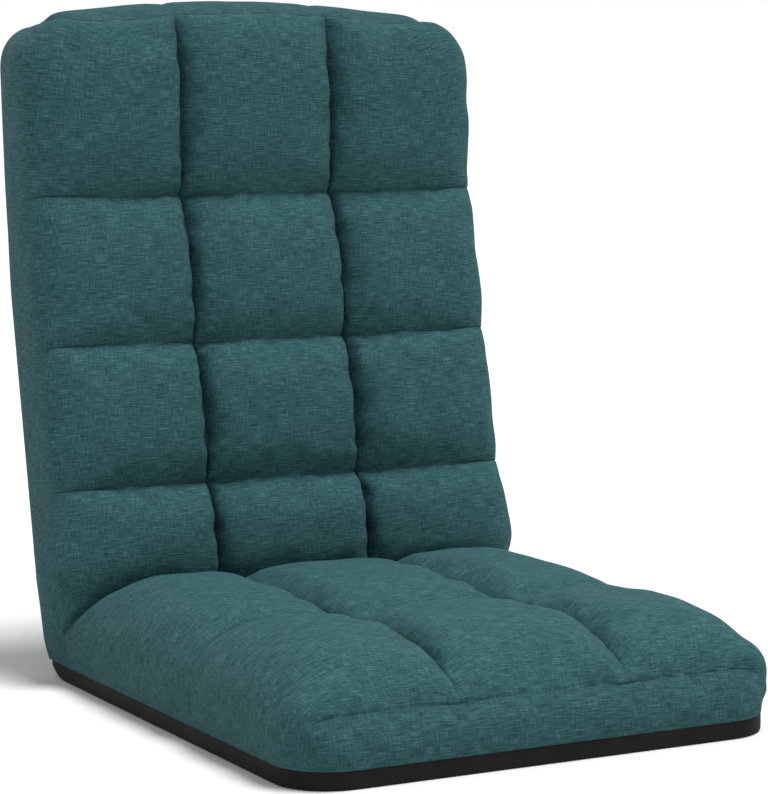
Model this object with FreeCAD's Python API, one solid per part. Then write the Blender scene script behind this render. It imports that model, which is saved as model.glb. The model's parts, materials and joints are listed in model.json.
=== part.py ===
# Folding floor chair: a quilted seat that lies on the floor and a quilted back that folds on two
# ratchet hinges. X is across the chair, +Y points to the sitter's back, +Z is up. The origin is on
# the floor, at the centre of the seat's flat base.
import FreeCAD, Part
import math
import os

from FreeCAD import Vector

# The seat and the back are both laid out along their steel frame. A place on either is (x, d, h):
# x across, d along the frame from the hinge pin, h out of the frame's plane on the sitter's side.

# The whole chair
BASE_LENGTH = 575.0
BASE_HALF = 250.5
PIVOT_Y = BASE_LENGTH / 2
PIVOT_Z = 50.0
BACK_LEAN = 11.0
NECK_D = 452.0
HEAD_TILT = 8.0
FOLDED_GAP = 22.0
FIT_GAP = 0.3

# Steel frames
RAIL_X = 215.0
RAIL_R = 9.5
RAIL_WALL = 1.2
RAIL_START = 60.0
SEAT_RAIL_END = 528.0
BACK_RAIL_END = 622.0
SEAT_BEND_R = 60.0
BACK_BEND_R = 50.0
NECK_BEND_R = 150.0
CROSS_R = 8.0
CROSS_WALL = 1.0
SEAT_CROSS_D = (128.0, 440.0)
BACK_CROSS_D = (128.0, 420.0)
STRAP_WIDTH = 45.0
STRAP_T = 1.6
STRAP_TAIL = 12.0
SEAT_STRAP_D = (190.0, 280.0, 370.0)
BACK_STRAP_D = (190.0, 265.0, 340.0)

# Hinge plates, rivets and ratchet
CHEEK_GAP = 9.7
CHEEK_T = 2.0
CHEEK_R = 27.0
ARM_HALF = 11.0
ARM_END = 110.0
ARM_RIVET_D = (75.0, 98.0)
ARM_RIVET_R = 3.0
RIVET_HEAD_R = 5.0
RIVET_HEAD_T = 1.8
PLATE_T = 5.0
SHANK_HALF = 9.0
SHANK_END = 106.0
SLOT_GAP = 0.1
PIVOT_R = 4.0
PIVOT_HEAD_R = 7.0
PIVOT_HEAD_T = 2.5
RUNNING_GAP = 0.05
BUSH_R = 12.0
TOOTH_R = 22.0
ROOT_R = 19.6
CLICKS = 5
CLICK_STEP = (90.0 - BACK_LEAN) / CLICKS
NOTCH_TIP_HALF = 1.25
NOTCH_MOUTH_HALF = 1.8
NOSE_ANGLE = 229.0
NOSE_CLEAR = 0.3
PAWL_PIN = (37.0, -6.0)
PAWL_PIN_R = 2.5
PAWL_BOSS_R = 4.8
PAWL_ARM_T = 3.4
SPRING_PIN = (52.0, -3.0)
SPRING_PIN_R = 1.5
SPRING_T = 0.5
SPRING_WIDTH = 4.0
SPRING_SAG_H = -13.6
SPRING_TIP = (22.0, -16.9)
PAWL_CLAW_ANGLE = 5.0
PAWL_ARM_UNDER = 2.0
PAWL_NECK_LOW = 3.5
PAWL_NECK_HIGH = 3.0
CLAW_DEPTH = 1.4

# Upholstery
FOAM_START = 62.0
FOAM_TOP = 32.0
FOAM_CHAMFER_X = 18.0
FOAM_CHAMFER_H = 16.0
FOLD_SLOPE = math.tan(math.radians(FOLDED_GAP / 2))
FOLD_CLEAR = 0.6
SEAT_FOAM_HALF = 243.0
SEAT_FOAM_END = 562.0
SEAT_FOAM_SLOPE = 470.0
SEAT_FOAM_NOSE_H = 8.0
BACK_FOAM_HALF = 240.0
BACK_FOAM_END = 652.0
POCKET_HALF = 15.5
POCKET_H = 12.5
POCKET_END = 114.0
FOAM_CORNER_R = 47.0
CLOTH_T = 1.5
BAND_H = 17.0
BASE_CORNER_R = 55.0
BASE_TAIL_ANGLE = 40.0
ROLL_R = 48.2
ROLL_HALF = 196.0
ROLL_CLEAR = 1.5
CAP_IN = 231.0
CAP_OUT = 251.0
CAP_EDGE_R = 8.0
PANEL_T = 2.8
PANEL_START = 28.0
PANEL_HALF = 247.0
COLUMN_SEAM_X = 88.0
SEAM_GAP = 0.4
ROW_STEPS = 8
CROWN = 70.0
CROWN_SPREAD = 1.0
ROW_SEAM_H = 51.0
SEAT_REAR_SEAM_H = 40.0
BACK_LOW_SEAM_H = 59.0
COLUMN_DROP = 10.0
SEAT_REAR_SEAM = 38.0
SEAT_CROSS_SEAM = 339.5
SEAT_FRONT_SEAM = 560.0
SEAT_FRONT_SEAM_H = 14.5
BACK_SEAMS = (24.0, 143.0, 291.5, NECK_D, 662.0)
SEAT_SHOULDER_H = 22.0
BACK_SHOULDER_H = 36.0
SIDE_BULGE = 3.0
BACK_SIDE_HALF = 254.5
BACK_TAPER = 0.0098
EDGE_IN = 5.0
EDGE_DROP = 4.0
BOXING_START = 520.0
BOXING_BULGE = 4.0
CREASE_ANGLE = 43.0
HEAD_ARCH = 22.0
HEAD_CORNER_R = 40.0
HEAD_HALF = 249.0
CORNER_SPAN = 0.55
CORNER_BULGE = (0.22, 0.68)
HEAD_TOP = 665.0
HEAD_EDGE_T = 12.0
HEAD_SEAM_H = 50.0
BOXING_LOW = 590.0
CREASE_START = 1.0
QUILT_UNDERLAP = 22.0


def on_seat(x, d, h):
    """A place on the seat."""
    return Vector(x, PIVOT_Y - d, PIVOT_Z + h)


def on_back(x, d, h):
    """A place on the back while it stands upright, with its head bent forward at the neck."""
    above = max(d - NECK_D, 0.0)
    bend = math.radians(HEAD_TILT)
    lean = bend if d > NECK_D else 0.0
    if abs(d - NECK_D) < 1.0:
        lean = bend / 2
    y = PIVOT_Y - above * math.sin(bend) - h * math.cos(lean)
    z = PIVOT_Z + min(d, NECK_D) + above * math.cos(bend) - h * math.sin(lean)
    return Vector(x, y, z)


def leaned(shape):
    """The upright back's shape, leaned back about the hinge pin to where it rests."""
    turned = shape.copy()
    turned.rotate(Vector(0, PIVOT_Y, PIVOT_Z), Vector(1, 0, 0), -BACK_LEAN)
    return turned


def mirrored(shape):
    """The same shape on the other side of the chair."""
    return shape.mirror(Vector(0, 0, 0), Vector(1, 0, 0))


def save(name, shape):
    """Write one sub-part."""
    shape.exportStep("parts/" + name + ".step")


def save_pair(name, shape):
    """Write the right-hand piece and its mirror image."""
    save("right_" + name, shape)
    save("left_" + name, mirrored(shape))


def line(start, end):
    return Part.LineSegment(start, end).toShape()


def prism(place, half, outline):
    """A block as wide as the chair's pad, from its side outline of (d, h) points."""
    corners = [place(-half, d, h) for d, h in outline]
    face = Part.Face(Part.makePolygon(corners + corners[:1]))
    return face.extrude(Vector(2 * half, 0, 0))


def block(place, x_low, x_high, d_low, d_high, h_low, h_high):
    """A straight block between two places."""
    middle = (x_low + x_high) / 2
    outline = ((d_low, h_low), (d_high, h_low), (d_high, h_high), (d_low, h_high))
    solid = prism(place, (x_high - x_low) / 2, outline)
    return solid.translated(Vector(middle, 0, 0))


def rod(place, d, h, x_low, x_high, radius):
    """A round bar across the chair."""
    return Part.makeCylinder(radius, x_high - x_low, place(x_low, d, h), Vector(1, 0, 0))


def rounded_path(points, radii):
    """Straight runs joined by tangent arcs, one radius for each inner point."""
    edges = []
    start = points[0]
    for before, corner, after, radius in zip(points, points[1:], points[2:], radii):
        into = (corner - before).normalize()
        out = (after - corner).normalize()
        turn = into.getAngle(out)
        reach = radius * math.tan(turn / 2)
        first = corner - into * reach
        last = corner + out * reach
        inward = (out - into).normalize()
        middle = corner + inward * (radius / math.cos(turn / 2) - radius)
        edges.append(line(start, first))
        edges.append(Part.Arc(first, middle, last).toShape())
        start = last
    edges.append(line(start, points[-1]))
    return Part.Wire(edges)


def bar_along(path, radius):
    """A round bar that follows a path."""
    start = path.Vertexes[0].Point
    first = path.Edges[0]
    direction = first.tangentAt(first.FirstParameter)
    ring = Part.Wire(Part.makeCircle(radius, start, direction))
    return path.makePipeShell([ring], True, False)


def loft(sections):
    return Part.makeLoft(sections, True, False)


# Frames: bent tubes, the tubes welded across them and the webbing wrapped round their rails

seat_path = rounded_path(
    [on_seat(-RAIL_X, RAIL_START, 0), on_seat(-RAIL_X, SEAT_RAIL_END, 0),
     on_seat(RAIL_X, SEAT_RAIL_END, 0), on_seat(RAIL_X, RAIL_START, 0)],
    [SEAT_BEND_R, SEAT_BEND_R])
back_path = rounded_path(
    [on_back(-RAIL_X, RAIL_START, 0), on_back(-RAIL_X, NECK_D, 0), on_back(-RAIL_X, BACK_RAIL_END, 0),
     on_back(RAIL_X, BACK_RAIL_END, 0), on_back(RAIL_X, NECK_D, 0), on_back(RAIL_X, RAIL_START, 0)],
    [NECK_BEND_R, BACK_BEND_R, BACK_BEND_R, NECK_BEND_R])


def frame_tube(path, place, slot_half):
    """The bent tube, drilled for its hinge rivets and, on the back, slotted for the ratchet plate."""
    tube = bar_along(path, RAIL_R).cut(bar_along(path, RAIL_R - RAIL_WALL))
    for side in (-RAIL_X, RAIL_X):
        for d in ARM_RIVET_D:
            tube = tube.cut(rod(place, d, 0, side - ARM_END, side + ARM_END, ARM_RIVET_R))
        if slot_half:
            slot = block(place, side - slot_half, side + slot_half, RAIL_START - 1,
                         SHANK_END + 1, -2 * RAIL_R, 2 * RAIL_R)
            tube = tube.cut(slot)
    return tube


def cross_tubes(place, places):
    """Straight tubes across the frame, their ends cut to sit on the rails."""
    tubes = []
    for d in places:
        tube = rod(place, d, 0, -RAIL_X, RAIL_X, CROSS_R)
        tube = tube.cut(rod(place, d, 0, -RAIL_X, RAIL_X, CROSS_R - CROSS_WALL))
        for side in (-RAIL_X, RAIL_X):
            rail = Part.makeCylinder(RAIL_R, 4 * CROSS_R, place(side, d - 2 * CROSS_R, 0),
                                     place(0, d + 1, 0) - place(0, d, 0))
            tube = tube.cut(rail)
        tubes.append(tube)
    return tubes


def strap(place, d, gap):
    """Webbing laid over both rails and hooked round them; a gap makes it the hollow cut for it."""
    low = RAIL_R + FIT_GAP - gap
    high = RAIL_R + FIT_GAP + STRAP_T + gap
    half = STRAP_WIDTH / 2 + gap
    along = place(0, d + 1, 0) - place(0, d, 0)
    body = block(place, -RAIL_X, RAIL_X, d - half, d + half, low, high)
    for side in (-1, 1):
        rail_end = place(side * RAIL_X, d - half, 0)
        ring = Part.makeCylinder(high, 2 * half, rail_end, along)
        ring = ring.cut(Part.makeCylinder(low, 2 * half, rail_end, along))
        outer = sorted((side * RAIL_X, side * (RAIL_X + 2 * high)))
        ring = ring.common(block(place, outer[0], outer[1], d - half, d + half, -high - 1, high + 1))
        inner = sorted((side * RAIL_X, side * (RAIL_X - STRAP_TAIL - gap)))
        tail = block(place, inner[0], inner[1], d - half, d + half, -high, -low)
        body = body.fuse(ring).fuse(tail)
    return body.removeSplitter()


seat_rail = frame_tube(seat_path, on_seat, 0)
back_rail = frame_tube(back_path, on_back, PLATE_T / 2 + SLOT_GAP)
seat_straps = [strap(on_seat, d, 0) for d in SEAT_STRAP_D]
back_straps = [strap(on_back, d, 0) for d in BACK_STRAP_D]

save("seat_frame_tube", seat_rail)
save("back_frame_tube", leaned(back_rail))
save("seat_cross_tubes", Part.makeCompound(cross_tubes(on_seat, SEAT_CROSS_D)))
save("back_cross_tubes", leaned(Part.makeCompound(cross_tubes(on_back, BACK_CROSS_D))))
save("seat_webbing_straps", Part.makeCompound(seat_straps))
save("back_webbing_straps", leaned(Part.makeCompound(back_straps)))


# Hinges, drawn on the right-hand rail

def hinge_rod(d, h, reach, radius):
    """A round bar centred on the rail, reaching as far to each side of it."""
    return rod(on_seat, d, h, RAIL_X - reach, RAIL_X + reach, radius)


def cheek(inner):
    """One side plate of the seat's fork: an eye round the hinge pin and an arm along the rail."""
    low = RAIL_X + (inner if inner > 0 else inner - CHEEK_T)
    high = low + CHEEK_T
    plate = rod(on_seat, 0, 0, low, high, CHEEK_R)
    plate = plate.fuse(block(on_seat, low, high, 0, ARM_END - ARM_HALF, -ARM_HALF, ARM_HALF))
    plate = plate.fuse(rod(on_seat, ARM_END - ARM_HALF, 0, low, high, ARM_HALF)).removeSplitter()
    plate = plate.cut(hinge_rod(0, 0, ARM_END, PIVOT_R))
    plate = plate.cut(hinge_rod(PAWL_PIN[0], PAWL_PIN[1], ARM_END, PAWL_PIN_R))
    plate = plate.cut(hinge_rod(SPRING_PIN[0], SPRING_PIN[1], ARM_END, SPRING_PIN_R))
    for d in ARM_RIVET_D:
        plate = plate.cut(hinge_rod(d, 0, ARM_END, ARM_RIVET_R))
    return plate


def rivet(d, h, grip, radius, head_r, head_t):
    """A rivet across the rail, with a head on each side of the grip."""
    body = hinge_rod(d, h, grip, radius)
    for low in (RAIL_X - grip - head_t, RAIL_X + grip):
        body = body.fuse(rod(on_seat, d, h, low, low + head_t, head_r))
    return body.removeSplitter()


def polar(angle, radius):
    """A (d, h) place round the hinge pin; the angle is counted from the chair's rear, over the top."""
    turn = math.radians(angle)
    return -radius * math.cos(turn), radius * math.sin(turn)


def wedge(angle, r_low, half_low, r_high, half_high, reach):
    """A tapering tooth-like block round the hinge pin, as thick as the ratchet plate."""
    outline = []
    for radius, half in ((r_low, -half_low), (r_high, -half_high), (r_high, half_high), (r_low, half_low)):
        outline.append(polar(angle + math.degrees(half / radius), radius))
    return prism(on_seat, reach, outline).translated(Vector(RAIL_X, 0, 0))


def ratchet_plate():
    """The back's hinge plate: an eye with notches cut in its lower rim, and a shank in the tube."""
    half = PLATE_T / 2
    back_angle = 90.0 - BACK_LEAN
    first = NOSE_ANGLE - CLICK_STEP
    last = NOSE_ANGLE + CLICKS * CLICK_STEP
    margin = CLICK_STEP / 2
    plate = hinge_rod(0, 0, half, ROOT_R)
    rim = Part.makeCylinder(TOOTH_R, PLATE_T, on_seat(RAIL_X - half, 0, 0), Vector(1, 0, 0),
                            last - first + 2 * margin)
    zero = on_seat(RAIL_X, 0, 0)
    start = rim.CenterOfMass - zero
    now = math.degrees(math.atan2(start.z, start.y))
    rim.rotate(zero, Vector(1, 0, 0), (first + last) / 2 - now)
    plate = plate.fuse(rim)
    shank = block(on_seat, RAIL_X - half, RAIL_X + half, -SHANK_END, 0, -SHANK_HALF, SHANK_HALF)
    shank.rotate(zero, Vector(1, 0, 0), back_angle)
    plate = plate.fuse(shank).removeSplitter()
    for click in range(-1, CLICKS + 1):
        notch = wedge(NOSE_ANGLE + click * CLICK_STEP, ROOT_R, NOTCH_TIP_HALF, TOOTH_R + 1,
                      NOTCH_MOUTH_HALF, PLATE_T)
        plate = plate.cut(notch)
    plate = plate.cut(hinge_rod(0, 0, PLATE_T, PIVOT_R + RUNNING_GAP))
    for d in ARM_RIVET_D:
        hole = hinge_rod(-d, 0, PLATE_T, ARM_RIVET_R)
        hole.rotate(zero, Vector(1, 0, 0), back_angle)
        plate = plate.cut(hole)
    return plate


def pawl():
    """The catch: a lever that turns on the pawl pin and drops its nose into a notch."""
    half = PLATE_T / 2
    boss = hinge_rod(PAWL_PIN[0], PAWL_PIN[1], half, PAWL_BOSS_R)
    nose = wedge(NOSE_ANGLE, ROOT_R + NOSE_CLEAR, NOTCH_TIP_HALF - NOSE_CLEAR, TOOTH_R + CLAW_DEPTH,
                 NOTCH_MOUTH_HALF - NOSE_CLEAR, half)
    inside = TOOTH_R + 3 * NOSE_CLEAR
    outside = inside + PAWL_ARM_T
    arm = hinge_rod(0, 0, half, outside).cut(hinge_rod(0, 0, half, inside))
    claw_end = NOSE_ANGLE + PAWL_CLAW_ANGLE
    arm_end = PAWL_PIN[0] - PAWL_ARM_UNDER
    arm_top = PAWL_PIN[1] + PAWL_NECK_HIGH
    keep = [polar(claw_end, ROOT_R / 2), polar(claw_end, 2 * ROOT_R), (arm_end, -2 * ROOT_R),
            (arm_end, arm_top), (ROOT_R, arm_top), (ROOT_R / 2, arm_top - 2 * PAWL_PIN_R)]
    arm = arm.common(prism(on_seat, half, keep).translated(Vector(RAIL_X, 0, 0)))
    neck = block(on_seat, RAIL_X - half, RAIL_X + half, inside, PAWL_PIN[0],
                 PAWL_PIN[1] - PAWL_NECK_LOW, arm_top)
    neck = neck.cut(hinge_rod(0, 0, half, inside))
    lever = boss.fuse(arm).fuse(neck).fuse(nose).removeSplitter()
    return lever.cut(hinge_rod(PAWL_PIN[0], PAWL_PIN[1], PLATE_T, PAWL_PIN_R + RUNNING_GAP))


def pawl_spring():
    """A bent strip of spring steel, held on its pin, that presses the pawl's arm upwards."""
    half = SPRING_WIDTH / 2
    eye = hinge_rod(SPRING_PIN[0], SPRING_PIN[1], half, SPRING_PIN_R + SPRING_T)
    eye = eye.cut(hinge_rod(SPRING_PIN[0], SPRING_PIN[1], half, SPRING_PIN_R))
    start = on_seat(RAIL_X - half, SPRING_PIN[0], SPRING_PIN[1] - SPRING_PIN_R)
    middle = on_seat(RAIL_X - half, (SPRING_PIN[0] + SPRING_TIP[0]) / 2, SPRING_SAG_H)
    end = on_seat(RAIL_X - half, SPRING_TIP[0], SPRING_TIP[1])
    down = Vector(0, 0, -SPRING_T)
    edges = [Part.Arc(start, middle, end).toShape(), line(end, end + down),
             Part.Arc(end + down, middle + down, start + down).toShape(), line(start + down, start)]
    leaf = Part.Face(Part.Wire(edges)).extrude(Vector(SPRING_WIDTH, 0, 0))
    return eye.fuse(leaf).removeSplitter()


def bushes():
    """Two steel rings that keep the ratchet plate midway between the cheeks."""
    rings = []
    for side in (-1, 1):
        ends = sorted((RAIL_X + side * (PLATE_T / 2 + SLOT_GAP), RAIL_X + side * (CHEEK_GAP - SLOT_GAP)))
        ring = rod(on_seat, 0, 0, ends[0], ends[1], BUSH_R)
        rings.append(ring.cut(rod(on_seat, 0, 0, ends[0], ends[1], PIVOT_R + RUNNING_GAP)))
    return Part.makeCompound(rings)


cheek_grip = CHEEK_GAP + CHEEK_T
seat_rivets = [rivet(d, 0, cheek_grip, ARM_RIVET_R, RIVET_HEAD_R, RIVET_HEAD_T) for d in ARM_RIVET_D]
back_rivets = [rivet(-d, 0, RAIL_R, ARM_RIVET_R, RIVET_HEAD_R, RIVET_HEAD_T) for d in ARM_RIVET_D]
for piece in back_rivets:
    piece.rotate(on_seat(RAIL_X, 0, 0), Vector(1, 0, 0), 90.0 - BACK_LEAN)

save_pair("outer_cheek_plate", cheek(CHEEK_GAP))
save_pair("inner_cheek_plate", cheek(-CHEEK_GAP))
save_pair("ratchet_plate", ratchet_plate())
save_pair("pivot_rivet", rivet(0, 0, cheek_grip, PIVOT_R, PIVOT_HEAD_R, PIVOT_HEAD_T))
save_pair("spacer_bushes", bushes())
save_pair("pawl", pawl())
save_pair("pawl_pin", hinge_rod(PAWL_PIN[0], PAWL_PIN[1], cheek_grip, PAWL_PIN_R))
save_pair("pawl_spring", pawl_spring())
save_pair("spring_pin", hinge_rod(SPRING_PIN[0], SPRING_PIN[1], cheek_grip, SPRING_PIN_R))
save_pair("seat_arm_rivets", Part.makeCompound(seat_rivets))
save_pair("back_arm_rivets", Part.makeCompound(back_rivets))


# Foam: one slab above and one below each frame, hollowed for the steel they close round

def steel_hollow(path, place, cross_places, strap_places):
    """Everything that a pad's foam leaves room for."""
    hollow = [bar_along(path, RAIL_R + FIT_GAP)]
    hollow += [rod(place, d, 0, -RAIL_X, RAIL_X, CROSS_R + FIT_GAP) for d in cross_places]
    hollow += [strap(place, d, FIT_GAP) for d in strap_places]
    for side in (-RAIL_X, RAIL_X):
        hollow.append(block(place, side - POCKET_HALF, side + POCKET_HALF, RAIL_START - 1, POCKET_END,
                            -POCKET_H, POCKET_H))
    return hollow


def rounded_plan(half, d_end, corner_r, h_low, h_high):
    """The seat's plan as a block, from the foam's start to its front end, with two round corners."""
    corners = [on_seat(-half, 0, h_low), on_seat(-half, d_end, h_low), on_seat(half, d_end, h_low),
               on_seat(half, 0, h_low)]
    path = rounded_path(corners, [corner_r, corner_r])
    face = Part.Face(Part.Wire(path.Edges + [line(corners[-1], corners[0])]))
    return face.extrude(Vector(0, 0, h_high - h_low))


def head_outline(inset):
    """The back seen from the front, as a block: straight sides and a gently arched top with round
    corners. An inset draws it in on every side but the bottom."""
    half = HEAD_HALF - inset
    top = HEAD_TOP - inset
    radius = HEAD_CORNER_R - inset / 2
    side_top = top - HEAD_ARCH - radius
    bend_x = half - radius * CORNER_SPAN
    bulge_in, bulge_up = CORNER_BULGE
    reach = -2 * CROWN
    left_low = on_back(-half, 0, reach)
    left_top = on_back(-half, side_top, reach)
    left_bend = on_back(-half + radius * bulge_in, side_top + radius * bulge_up, reach)
    left_shoulder = on_back(-bend_x, top - HEAD_ARCH, reach)
    crown = on_back(0, top, reach)
    right_shoulder = on_back(bend_x, top - HEAD_ARCH, reach)
    right_bend = on_back(half - radius * bulge_in, side_top + radius * bulge_up, reach)
    right_top = on_back(half, side_top, reach)
    right_low = on_back(half, 0, reach)
    edges = []
    edges.append(line(on_back(-half, NECK_D + 1, reach), left_top))
    edges.append(Part.Arc(left_top, left_bend, left_shoulder).toShape())
    edges.append(Part.Arc(left_shoulder, crown, right_shoulder).toShape())
    edges.append(Part.Arc(right_shoulder, right_bend, right_top).toShape())
    edges.append(line(right_top, on_back(half, NECK_D + 1, reach)))
    edges.append(line(on_back(half, NECK_D + 1, reach), on_back(-half, NECK_D + 1, reach)))
    through = on_back(0, NECK_D + 1, 2 * CROWN) - on_back(0, NECK_D + 1, reach)
    head = Part.Face(Part.Wire(edges)).extrude(through)
    below = prism(on_back, half, ((0, reach), (NECK_D + 2, reach), (NECK_D + 2, 2 * CROWN), (0, 2 * CROWN)))
    return head.fuse(below)


def wedge_height(d):
    """Height of the foam's face, which thins towards the hinge so that the chair can fold."""
    return min(d * FOLD_SLOPE - FOLD_CLEAR, FOAM_TOP)


def corner_cuts(place, half):
    """Four long wedges, two below the neck and two above, that take the upper corners off a foam slab."""
    line_ends = ((half + FOAM_CHAMFER_X, FOAM_TOP - 2 * FOAM_CHAMFER_H),
                 (half - 2 * FOAM_CHAMFER_X, FOAM_TOP + FOAM_CHAMFER_H),
                 (half + FOAM_CHAMFER_X, FOAM_TOP + FOAM_CHAMFER_H))
    cuts = []
    for start, low, high in ((FOAM_START, 0.0, NECK_D), (NECK_D + 2, NECK_D, 2 * NECK_D)):
        along = place(0, start + 1, 0) - place(0, start, 0)
        keep = prism(place, 2 * BASE_HALF, (
            (low, -PIVOT_Z), (high, -PIVOT_Z), (high, CROWN), (low, CROWN)))
        for side in (-1, 1):
            corners = [place(side * x, start, h) - along * CROWN for x, h in line_ends]
            face = Part.Face(Part.makePolygon(corners + corners[:1]))
            cuts.append(face.extrude(along * (2 * NECK_D)).common(keep))
    return cuts


wedge_start = wedge_height(FOAM_START)
wedge_end = (FOAM_TOP + FOLD_CLEAR) / FOLD_SLOPE
seat_hollow = steel_hollow(seat_path, on_seat, SEAT_CROSS_D, SEAT_STRAP_D)
back_hollow = steel_hollow(back_path, on_back, BACK_CROSS_D, BACK_STRAP_D)
split = FIT_GAP / 2
floor_h = CLOTH_T + FIT_GAP - PIVOT_Z

seat_top = prism(on_seat, SEAT_FOAM_HALF, (
    (FOAM_START, split), (FOAM_START, wedge_start), (wedge_end, FOAM_TOP),
    (SEAT_FOAM_SLOPE, FOAM_TOP), (SEAT_FOAM_END, SEAT_FOAM_NOSE_H), (SEAT_FOAM_END, split)))
seat_top = seat_top.cut(corner_cuts(on_seat, SEAT_FOAM_HALF))
seat_plan = rounded_plan(SEAT_FOAM_HALF, SEAT_FOAM_END, FOAM_CORNER_R, -PIVOT_Z, CROWN)
seat_bottom = rounded_plan(SEAT_FOAM_HALF, SEAT_FOAM_END, FOAM_CORNER_R, floor_h, -split)
seat_foot = rounded_plan(BASE_HALF - CLOTH_T - FIT_GAP, BASE_LENGTH - CLOTH_T - FIT_GAP,
                         BASE_CORNER_R - CLOTH_T, floor_h, BAND_H - FIT_GAP - PIVOT_Z)
behind = block(on_seat, -2 * BASE_HALF, 2 * BASE_HALF, -FOAM_START, FOAM_START, -2 * PIVOT_Z, 2 * CROWN)
save("seat_foam_top", seat_top.common(seat_plan).cut(seat_hollow))
save("seat_foam_bottom", seat_bottom.fuse(seat_foot).removeSplitter().cut(seat_hollow + [behind]))

panel_in = PANEL_T - PIVOT_Z
foam_outline = head_outline(HEAD_EDGE_T + FIT_GAP)
back_front = prism(on_back, BACK_FOAM_HALF, (
    (FOAM_START, split), (FOAM_START, wedge_start), (wedge_end, FOAM_TOP), (NECK_D, FOAM_TOP),
    (BACK_FOAM_END, FOAM_TOP), (BACK_FOAM_END, split), (NECK_D, split)))
back_front = back_front.cut(corner_cuts(on_back, BACK_FOAM_HALF))
back_rear = prism(on_back, BACK_FOAM_HALF, (
    (FOAM_START, panel_in + FIT_GAP), (FOAM_START, -split), (NECK_D, -split), (BACK_FOAM_END, -split),
    (BACK_FOAM_END, panel_in + FIT_GAP), (NECK_D, panel_in + FIT_GAP)))
save("back_foam_front", leaned(back_front.common(foam_outline).cut(back_hollow)))
save("back_foam_rear", leaned(back_rear.common(foam_outline).cut(back_hollow)))


# Base cloth: a shallow tray of black cloth under the seat, with a tail up round the hinge

def base_cloth():
    tray = rounded_plan(BASE_HALF, BASE_LENGTH, BASE_CORNER_R, -PIVOT_Z, BAND_H - PIVOT_Z)
    inside = rounded_plan(BASE_HALF - CLOTH_T, BASE_LENGTH - CLOTH_T, BASE_CORNER_R - CLOTH_T,
                          CLOTH_T - PIVOT_Z, BAND_H)
    rear = block(on_seat, -2 * BASE_HALF, 2 * BASE_HALF, -BASE_LENGTH, FOAM_START, CLOTH_T - PIVOT_Z, CROWN)
    tray = tray.cut(inside).cut(rear)
    half = CAP_OUT - CAP_EDGE_R
    tail = rod(on_seat, 0, 0, -half, half, PIVOT_Z).cut(rod(on_seat, 0, 0, -half, half, PIVOT_Z - CLOTH_T))
    slice_end = polar(270 + BASE_TAIL_ANGLE, 2 * PIVOT_Z)
    tail = tail.common(prism(on_seat, half, ((0, 0), (0, -2 * PIVOT_Z), slice_end)))
    return tray.fuse(tail).removeSplitter()


save("seat_base_cloth", base_cloth())


# Hinge roll: a padded cylinder that fills the bend, and a round pad at each end of it

save("hinge_roll_pad", rod(on_seat, 0, 0, -ROLL_HALF, ROLL_HALF, ROLL_R))
cap = rod(on_seat, 0, 0, CAP_IN, CAP_OUT, ROLL_R)
rim = [edge for edge in cap.Edges if len(edge.Vertexes) == 1 and edge.Vertexes[0].X > CAP_OUT - 1]
save_pair("hinge_end_pad", cap.makeFillet(CAP_EDGE_R, rim))


# Quilt: padded squares between sewn seams, three to a row

def arch(share):
    """How far a padded square has risen, from 0 at its seams to 1 at its middle."""
    return (1 - abs(2 * share - 1) ** 2.5) ** 0.7


def section(place, d, start, legs):
    """A closed outline at one place along the pad; a leg is a line's end, or an arc's middle and end."""
    here = place(start[0], d, start[1])
    edges = []
    for leg in legs:
        there = place(leg[-1][0], d, leg[-1][1])
        if len(leg) == 2:
            edges.append(Part.Arc(here, place(leg[0][0], d, leg[0][1]), there).toShape())
        else:
            edges.append(line(here, there))
        here = there
    return Part.Wire(edges)


def middle_square(place, d, top, valley, bottom):
    """Across a middle square: a crown between two seams."""
    half = COLUMN_SEAM_X - SEAM_GAP / 2
    return section(place, d, (-half, bottom), (
        ((-half, valley),), ((0, top), (half, valley)), ((half, bottom),), ((-half, bottom),)))


def side_square(place, d, top, valley, bottom, side):
    """Across a right-hand square: a crown that turns over the edge and down the pad's side."""
    half, shoulder, low, foam_half = side
    inner = COLUMN_SEAM_X + SEAM_GAP / 2
    middle = (inner + half) / 2
    edge_h = min(shoulder, valley - EDGE_DROP)
    return section(place, d, (inner, bottom), (
        ((inner, valley),), ((middle, top), (half - EDGE_IN, edge_h)),
        ((half, (edge_h + low) / 2), (half - EDGE_DROP, low)),
        ((foam_half, low),), ((foam_half, bottom - FOAM_CHAMFER_H),),
        ((foam_half - FOAM_CHAMFER_X, bottom),), ((inner, bottom),)))


def row(place, ends, end_heights, crown, foam_top, side_at):
    """One row of the quilt: left, middle and right square. Each is a loft along the pad."""
    middles, rights = [], []
    for step in range(ROW_STEPS + 1):
        share = (1 - math.cos(math.pi * step / ROW_STEPS)) / 2
        d = ends[0] + share * (ends[1] - ends[0])
        straight = end_heights[0] + share * (end_heights[1] - end_heights[0])
        mid_line = (end_heights[0] + end_heights[1]) / 2
        top = straight + arch(share) * (crown - mid_line)
        valley = straight - COLUMN_DROP * (1 - 0.5 * arch(share))
        bottom = foam_top(d)
        middles.append(middle_square(place, d, top, max(valley, bottom + 1), bottom))
        rights.append(side_square(place, d, top, max(valley, bottom + 1), bottom, side_at(d)))
    right = loft(rights)
    return [mirrored(right), loft(middles), right]


def seat_foam_face(d):
    slope = max((d - SEAT_FOAM_SLOPE) / (SEAT_FOAM_END - SEAT_FOAM_SLOPE), 0)
    return wedge_height(d) - slope * (FOAM_TOP - SEAT_FOAM_NOSE_H) + FIT_GAP


def back_foam_face(d):
    return wedge_height(d) + FIT_GAP


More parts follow.
